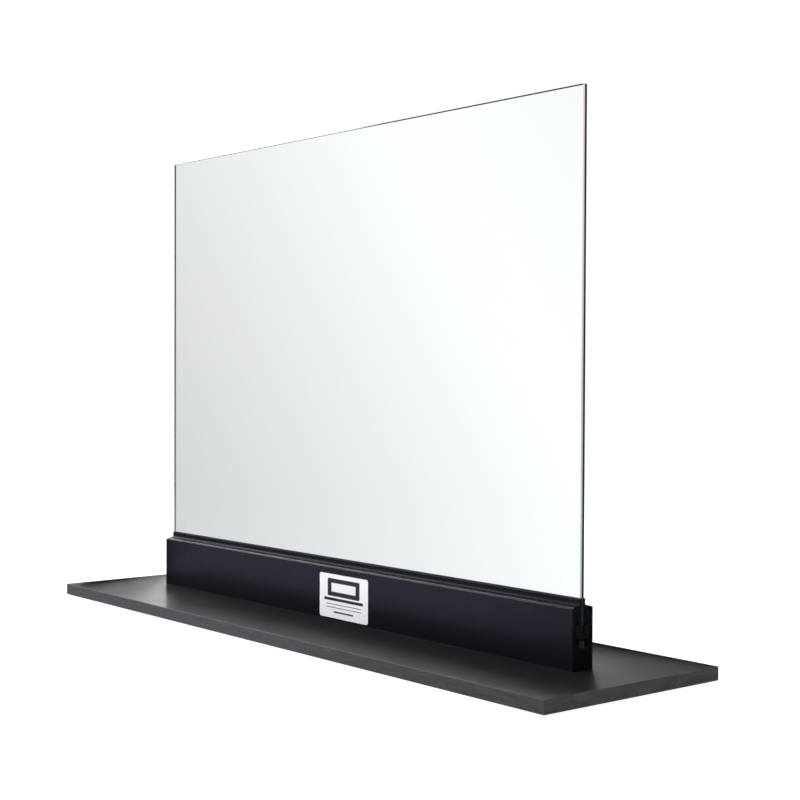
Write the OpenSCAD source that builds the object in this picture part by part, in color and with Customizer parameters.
// Counter-top sneeze guard: a clear glass screen gripped in a black aluminium
// base shoe, which is bolted from below to a black laminate-faced board.
// Millimetres. Origin: bottom centre of the board's footprint, on the feet.
// +X along the screen, -Y towards the customer (front), +Z up.

/* [Board] */
// Length of the board over its edge bands
board_l = 1095; // [1000:1:1400]
// Depth of the board over its edge bands
board_d = 291; // [200:1:400]
// Thickness of the particle core
core_t = 15.2; // [12:0.1:25]
// Thickness of each laminate facing
facing_t = 0.8; // [0.5:0.1:1.5]
// Thickness of the edge banding
band_t = 1.0; // [0.8:0.1:3]
// Radius worked on the outer edges of the banding
band_r = 0.6; // [0.3:0.1:0.8]

/* [Glass] */
// Width of the pane, which the shoe matches end to end
glass_w = 914.4; // [600:0.1:960]
// Full height of the pane, from its seat in the shoe to its top edge
glass_h = 647.7; // [400:0.1:900]
// Thickness of the pane
glass_t = 6.35; // [5:0.05:8]
// Ground arris along every edge of the pane
arris = 0.7; // [0.3:0.1:1]
// How far the pane and shoe sit to the right of the board's centre
screen_shift = 7; // [-20:1:20]

/* [Base shoe] */
// Width of the shoe without its cladding
shoe_w = 30; // [28:0.5:40]
// Height of the shoe above the board
shoe_h = 74.8; // [70:0.1:110]
// Thickness of each shoe wall
shoe_wall = 5.5; // [4:0.1:6]
// Solid floor under the glass pocket
shoe_floor = 26; // [22:1:30]
// Thickness of the cladding plates
clad_t = 2.0; // [1.5:0.1:3]
// Step from the top of the shoe down to the top of the cladding
clad_step = 1.2; // [0.5:0.1:3]
// Thickness of the mounting tape behind the cladding
tape_t = 0.5; // [0.3:0.1:1]

/* [Glazing] */
// Height of the gasket's sealing lip above the shoe
lip_h = 9.5; // [7:0.1:12]
// Depth of the gasket's wedge inside the pocket
wedge_h = 19; // [14:0.5:20]
// Thickness of the liner around the pane's bottom edge
boot_t = 1.5; // [1:0.1:2]
// Height of the liner
boot_h = 18; // [12:0.5:20]
// Height of the setting blocks under the liner
block_h = 8; // [5:0.5:10]
// Length of one setting block
block_l = 100; // [50:5:120]
// Length of one clamping shim
shim_l = 80; // [40:5:100]

/* [Fasteners] */
// Screws that hold the shoe to the board
screw_count = 5; // [3:1:6]
// Distance between neighbouring screws
screw_pitch = 200; // [120:5:220]
// Nominal thread diameter
screw_d = 8; // [6:1:8]
// Length of the screw under its head
screw_l = 30; // [28:1:32]
// Depth of the counterbore in the underside of the board
cbore_h = 6.5; // [6.2:0.1:8]

/* [Feet and label] */
// Diameter of a rubber foot
foot_d = 20; // [12:1:30]
// Height of a foot with its adhesive disc
foot_h = 2.5; // [1.5:0.1:6]
// Width of the blank label on the front cladding
label_w = 110; // [50:1:150]
// Height of the blank label
label_h = 61.5; // [20:0.5:68]
// Centre of the label, measured from the middle of the screen
label_x = 20; // [-300:1:300]

/* [Hidden] */

$fn = 48;
eps = 0.01;

// Levels, upwards from the surface that the guard stands on
board_z = foot_h;
core_z = board_z + facing_t;
board_t = core_t + 2 * facing_t;
top_z = board_z + board_t;
floor_z = top_z + shoe_floor;
boot_z = floor_z + block_h;
glass_z = boot_z + boot_t;
lip_z = top_z + shoe_h;

// Across the shoe
pocket_w = shoe_w - 2 * shoe_wall;
gap = (pocket_w - glass_t) / 2;
lip_r = 0.8;
pocket_r = 2;
clip_z = lip_z - 8.8;
clip_h = 2.4;
clip_d = 1.0;
tape_h = 12;
tape_low = 10;
tape_high = 52;
clad_r = 0.5;
block_w = 8;
shim_low = 11;
shim_h = 17;
shim_lead = 1.5;
shim_slot = 12;

// Screws and washers
shank_clear = 9;
cbore_d = 19;
tap_h = 20;
head_d = 14;
head_h = 4.4;
head_edge = 1.2;
socket_d = 5.8;
socket_h = 2.8;
washer_d = 16;
washer_bore = 8.4;
washer_t = 1.6;
seat_z = board_z + cbore_h;

// Feet and label
foot_inset_x = 45;
foot_inset_y = 32;
adhesive_t = 0.3;
foot_edge = 1.2;
label_t = 0.2;
label_r = 4;
label_mid = 33.8;

screw_x = [for (i = [0 : screw_count - 1]) screen_shift + (i - (screw_count - 1) / 2) * screw_pitch];
foot_x = [-1, 0, 1] * (board_l / 2 - foot_inset_x);
foot_y = [-1, 1] * (board_d / 2 - foot_inset_y);
block_x = [-1, 0, 1] * (glass_w - block_l) / 2;
shim_x = [-1, -1 / 3, 1 / 3, 1] * (glass_w - shim_l) / 2;

// Extrudes a section, drawn as (Y, Z), along X about the middle of the screen
module along_screen(length) {
    translate([screen_shift - length / 2, 0, 0])
        rotate([90, 0, 90]) linear_extrude(length) children();
}

// A rectangle from the origin whose two top corners are rounded
module round_topped(w, h, r) {
    square([w, h - r]);
    translate([r, h - r - eps]) square([w - 2 * r, r + eps]);
    for (x = [r, w - r]) translate([x, h - r]) circle(r);
}

// A centred rectangle with four rounded corners
module round_rect(w, h, r) {
    square([w - 2 * r, h], center = true);
    square([w, h - 2 * r], center = true);
    for (x = [-1, 1], y = [-1, 1])
        translate([x * (w / 2 - r), y * (h / 2 - r)]) circle(r);
}

// Keeps a part as drawn on the rear side, or turns it to the front
module side(front) {
    mirror([0, front ? 1 : 0, 0]) children();
}

// Board -----------------------------------------------------------------

// A panel of the board inside its edge bands
module panel(z, t) {
    translate([-board_l / 2 + band_t, -board_d / 2 + band_t, z])
        cube([board_l - 2 * band_t, board_d - 2 * band_t, t]);
}

module screw_bores(z, d, h) {
    for (x = screw_x) translate([x, 0, z]) cylinder(d = d, h = h);
}

module board_core() {
    color("tan") difference() {
        panel(core_z, core_t);
        screw_bores(core_z - 1, shank_clear, core_t + 2);
        screw_bores(core_z - 1, cbore_d, seat_z - core_z + 1);
    }
}

module board_top_facing() {
    color("#262628") difference() {
        panel(top_z - facing_t, facing_t);
        screw_bores(top_z - facing_t - 1, shank_clear, facing_t + 2);
    }
}

module board_bottom_facing() {
    color("#2c2c2e") difference() {
        panel(board_z, facing_t);
        screw_bores(board_z - 1, cbore_d, facing_t + 2);
    }
}

// Section of a band: flat against the board, rounded on its outer edges
module band_section() {
    intersection() {
        square([band_t, board_t]);
        translate([-band_r, 0]) union() {
            translate([0, band_r]) square([band_t + band_r, board_t - 2 * band_r]);
            square([band_t, board_t]);
            for (z = [band_r, board_t - band_r]) translate([band_t, z]) circle(band_r);
        }
    }
}

// The long bands cover the ends of the short ones
module long_band(front) {
    color("#414144") side(front) translate([-board_l / 2, board_d / 2 - band_t, board_z])
        rotate([90, 0, 90]) linear_extrude(board_l) band_section();
}

module short_band(left) {
    color("#414144") mirror([left ? 1 : 0, 0, 0])
        translate([board_l / 2 - band_t, board_d / 2 - band_t, board_z])
            rotate([90, 0, 0]) linear_extrude(board_d - 2 * band_t) band_section();
}

module edge_band_front() { long_band(true); }
module edge_band_rear() { long_band(false); }
module edge_band_left() { short_band(true); }
module edge_band_right() { short_band(false); }

// Base shoe and cladding ------------------------------------------------

// A U with a thick floor, rounded lips, and a groove in each wall for the gasket's barb
module shoe_section() {
    difference() {
        union() {
            translate([-shoe_w / 2, 0]) square([shoe_w, shoe_floor]);
            for (y = [-shoe_w / 2, shoe_w / 2 - shoe_wall])
                translate([y, 0]) round_topped(shoe_wall, shoe_h, lip_r);
            for (s = [-1, 1]) scale([s, 1]) pocket_fillet();
        }
        for (s = [-1, 1]) scale([s, 1])
            translate([pocket_w / 2 - eps, clip_z - top_z - clip_h / 2])
                square([clip_d + eps, clip_h]);
    }
}

module pocket_fillet() {
    difference() {
        translate([pocket_w / 2 - pocket_r, shoe_floor - eps]) square([pocket_r + eps, pocket_r + eps]);
        translate([pocket_w / 2 - pocket_r, shoe_floor + pocket_r]) circle(pocket_r);
    }
}

module base_shoe() {
    color("#1d1d21") difference() {
        translate([0, 0, top_z]) along_screen(glass_w) shoe_section();
        screw_bores(top_z - 1, screw_d, tap_h + 1);
    }
}

module cladding(front) {
    color("#303036") side(front) translate([0, shoe_w / 2 + tape_t, top_z])
        along_screen(glass_w) round_topped(clad_t, shoe_h - clad_step, clad_r);
}

module cladding_tape(front) {
    color("dimgray") side(front) for (z = [tape_low, tape_high])
        translate([0, shoe_w / 2, top_z + z]) along_screen(glass_w) square([tape_t, tape_h]);
}

module front_cladding() { cladding(true); }
module rear_cladding() { cladding(false); }
module front_cladding_tape() { cladding_tape(true); }
module rear_cladding_tape() { cladding_tape(false); }

// Glass and glazing -----------------------------------------------------

// A rectangle whose four corners are cut back at 45 degrees by the arris
module arrised(w, t) {
    x = w / 2;
    y = t / 2;
    polygon([[x, arris - y], [x, y - arris], [x - arris, y], [arris - x, y],
             [-x, y - arris], [-x, arris - y], [arris - x, -y], [x - arris, -y]]);
}

// Three crossed extrusions put the arris on all twelve edges of the pane
module glass_panel() {
    color("#d9ebe5", 0.35) translate([screen_shift, 0, glass_z + glass_h / 2]) intersection() {
        linear_extrude(glass_h, center = true) arrised(glass_w, glass_t);
        rotate([90, 0, 90]) linear_extrude(glass_w, center = true) arrised(glass_t, glass_h);
        rotate([90, 0, 0]) linear_extrude(glass_t, center = true) arrised(glass_w, glass_h);
    }
}

// Wedge gasket, drawn outwards from the face of the glass and up from the top of the shoe:
// a beaded sealing lip, a hollow flute that runs out over the shoe wall, and a barbed wedge in the gap
module gasket_section() {
    shoulder = gap + 1.3;
    barb = clip_z - lip_z;
    flute_r = 4.1;
    flute_mid = [5.4, 5.2];
    flute = [for (a = [0:15:90]) flute_mid - flute_r * [cos(a), sin(a)]];
    polygon(concat([[0, lip_h], [0.9, lip_h], [2, lip_h - 1.8], [2, lip_h - 2.3], [1.2, lip_h - 3.2]], flute,
                   [[shoulder, 0.6], [shoulder, 0], [gap, 0],
                    [gap, barb + 1], [gap + clip_d - 0.1, barb + 0.4], [gap + clip_d - 0.1, barb - 0.6],
                    [gap - 0.6, barb - 1.6], [gap - 1.2, -12.5], [gap - 0.4, -13.3], [gap - 0.4, -14],
                    [gap - 1.6, -15], [gap - 3, -wedge_h], [0, -wedge_h]]));
}

module gasket(front) {
    color("#17171a") side(front) translate([0, glass_t / 2, lip_z])
        along_screen(glass_w) gasket_section();
}

module front_gasket() { gasket(true); }
module rear_gasket() { gasket(false); }

module glass_boot() {
    color("#28282a") translate([0, 0, boot_z]) along_screen(glass_w) difference() {
        translate([-glass_t / 2 - boot_t, 0]) square([glass_t + 2 * boot_t, boot_h]);
        translate([-glass_t / 2, boot_t]) square([glass_t, boot_h]);
    }
}

module setting_blocks() {
    color("#636461") for (x = block_x) translate([x, 0, floor_z])
        along_screen(block_l) translate([-block_w / 2, 0]) square([block_w, block_h]);
}

// Shim between the liner and the shoe wall, with a lead-in below and a slot for a puller above
module shims(front) {
    inner = glass_t / 2 + boot_t;
    outer = pocket_w / 2;
    color("#343437") side(front) for (x = shim_x) translate([x, 0, floor_z + shim_low]) difference() {
        along_screen(shim_l)
            polygon([[inner, 0], [outer - shim_lead, 0], [outer, shim_lead], [outer, shim_h], [inner, shim_h]]);
        translate([screen_shift - shim_slot / 2, inner - 1, shim_h - 5])
            cube([shim_slot, outer - inner + 2, 6]);
    }
}

module front_shims() { shims(true); }
module rear_shims() { shims(false); }

// Fasteners, feet and label ---------------------------------------------

// Button-head screw with a hexagon socket, head down and shank up
module button_screw() {
    dome_h = head_h - head_edge;
    dome_r = (pow(head_d / 2, 2) + pow(dome_h, 2)) / (2 * dome_h);
    difference() {
        union() {
            intersection() {
                translate([0, 0, -head_h]) cylinder(d = head_d, h = head_h);
                translate([0, 0, dome_r - head_h]) sphere(dome_r);
            }
            cylinder(d = screw_d, h = screw_l);
        }
        translate([0, 0, -head_h - 1]) cylinder(d = socket_d, h = socket_h + 1, $fn = 6);
    }
}

module shoe_screws() {
    color("silver") for (x = screw_x) translate([x, 0, seat_z - washer_t]) button_screw();
}

module screw_washers() {
    color("silver") for (x = screw_x) translate([x, 0, seat_z - washer_t]) difference() {
        cylinder(d = washer_d, h = washer_t);
        translate([0, 0, -1]) cylinder(d = washer_bore, h = washer_t + 2);
    }
}

// Low bumper with a chamfered tread
module rubber_feet() {
    color("#1a1a1a") for (x = foot_x, y = foot_y) translate([x, y, 0]) rotate_extrude()
        polygon([[0, 0], [foot_d / 2 - foot_edge, 0], [foot_d / 2, foot_edge],
                 [foot_d / 2, foot_h - adhesive_t], [0, foot_h - adhesive_t]]);
}

module foot_adhesive() {
    color("whitesmoke") for (x = foot_x, y = foot_y)
        translate([x, y, foot_h - adhesive_t]) cylinder(d = foot_d - 1, h = adhesive_t);
}

module label() {
    color("white") translate([screen_shift + label_x, -shoe_w / 2 - tape_t - clad_t, top_z + label_mid])
        rotate([90, 0, 0]) linear_extrude(label_t) round_rect(label_w, label_h, label_r);
}

board_core();
board_top_facing();
board_bottom_facing();
edge_band_front();
edge_band_rear();
edge_band_left();
edge_band_right();
base_shoe();
front_cladding();
rear_cladding();
front_cladding_tape();
rear_cladding_tape();
glass_panel();
front_gasket();
rear_gasket();
glass_boot();
setting_blocks();
front_shims();
rear_shims();
shoe_screws();
screw_washers();
rubber_feet();
foot_adhesive();
label();
